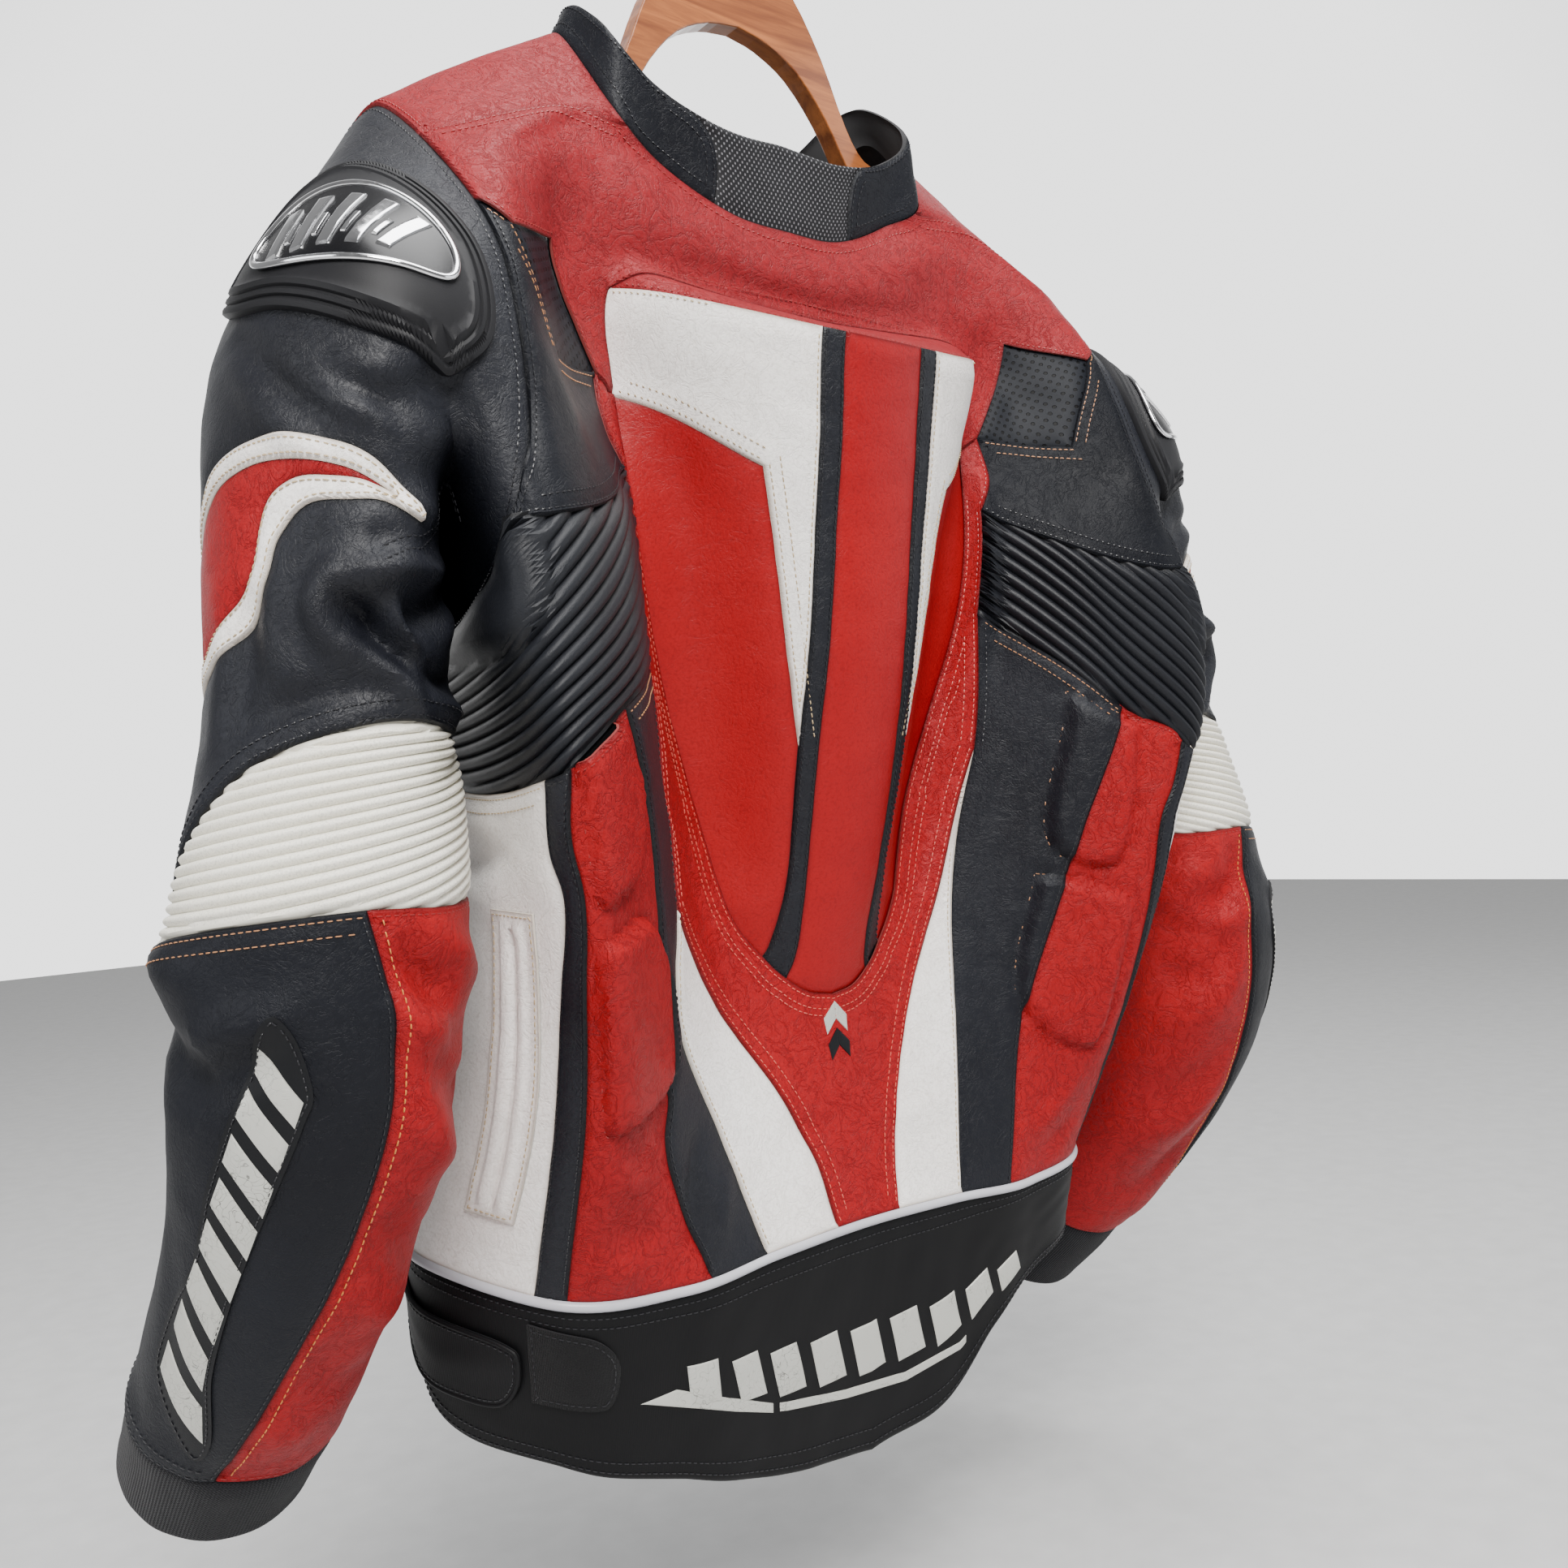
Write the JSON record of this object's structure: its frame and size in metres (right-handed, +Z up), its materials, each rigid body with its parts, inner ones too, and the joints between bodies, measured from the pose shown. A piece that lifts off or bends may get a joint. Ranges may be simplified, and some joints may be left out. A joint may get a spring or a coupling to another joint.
{
  "type": "motorcycle jacket on a coat hanger",
  "caption": "Race-cut leather motorcycle jacket with aerodynamic back hump, ribbed stretch panels and drop tail, zipped shut and hanging empty on a wishbone coat hanger.",
  "frame": {"origin": "inner top of the hanger hook's arc, where a rail carries it", "axes": "+X the wearer's left, +Y the wearer's back, +Z up"},
  "size_m": [0.7446, 0.2936, 0.9879],
  "materials": {
    "red_leather": "pebbled cowhide, satin",
    "black_leather": "pebbled blue-black cowhide, satin",
    "white_leather": "pebbled off-white cowhide, satin",
    "cream_leather": "ribbed stretch leather, cream, satin",
    "mesh_net": "knitted spacer mesh, black over light dots",
    "reflective_piping": "silver-grey reflective cord, semi-gloss",
    "belt_textile": "black coated textile and hook-and-loop, matt",
    "knit": "black elastic knit, matt",
    "moulded_tpu": "moulded charcoal armour plate, satin",
    "zip_tape": "woven zip tape, matt",
    "zip_metal": "cast slider and pull, satin",
    "hanger_wood": "lacquered red-brown wood, gloss",
    "hook_steel": "plated steel wire, bright"
  },
  "bodies": {
    "jacket": {"accordion_left": "black_leather", "accordion_right": "black_leather", "back_black_left": "black_leather", "back_black_right": "black_leather", "back_frame": "red_leather", "back_yoke": "red_leather", "collar_left": "black_leather", "collar_mesh": "mesh_net", "collar_right": "black_leather", "cuff_left": "knit", "cuff_right": "knit", "elbow_ribs_left": "cream_leather", "elbow_ribs_right": "cream_leather", "forearm_black_left": "black_leather", "forearm_black_right": "black_leather", "forearm_red_left": "red_leather", "forearm_red_right": "red_leather", "front_left": "black_leather", "front_right": "black_leather", "front_yoke_left": "red_leather", "front_yoke_right": "red_leather", "front_zip": "zip_tape", "hanger_hook": "hook_steel", "hanger_wood": "hanger_wood", "hump_black_left": "black_leather", "hump_black_right": "black_leather", "hump_red_centre": "red_leather", "hump_red_left": "red_leather", "hump_red_right": "red_leather", "hump_shelf": "red_leather", "hump_white_left": "white_leather", "hump_white_right": "white_leather", "piping": "reflective_piping", "pocket_welt_left": "white_leather", "pocket_welt_right": "white_leather", "shoulder_back_left": "black_leather", "shoulder_back_right": "black_leather", "shoulder_guard_left": "moulded_tpu", "shoulder_guard_right": "moulded_tpu", "side_red_left": "red_leather", "side_red_right": "red_leather", "side_stripe_left": "black_leather", "side_stripe_right": "black_leather", "side_white_left": "white_leather", "side_white_right": "white_leather", "strap_left": "belt_textile", "strap_right": "belt_textile", "swoosh_left": "red_leather", "swoosh_right": "red_leather", "tail": "belt_textile", "tail_patch": "belt_textile", "upper_sleeve_left": "black_leather", "upper_sleeve_right": "black_leather", "vent_left": "black_leather", "vent_right": "black_leather", "white_stripe_left": "white_leather", "white_stripe_right": "white_leather", "zip_slider": "zip_metal"},
    "zip_pull": {"zip_pull": "zip_metal"}
  },
  "joints": [
    {"name": "pull_tab_hinge", "type": "hinge", "parent": "jacket", "child": "zip_pull", "pos_m": [0, -0.10615, -0.29007], "axis": [-1, 0, 0], "range_deg": [0, 150]}
  ]
}
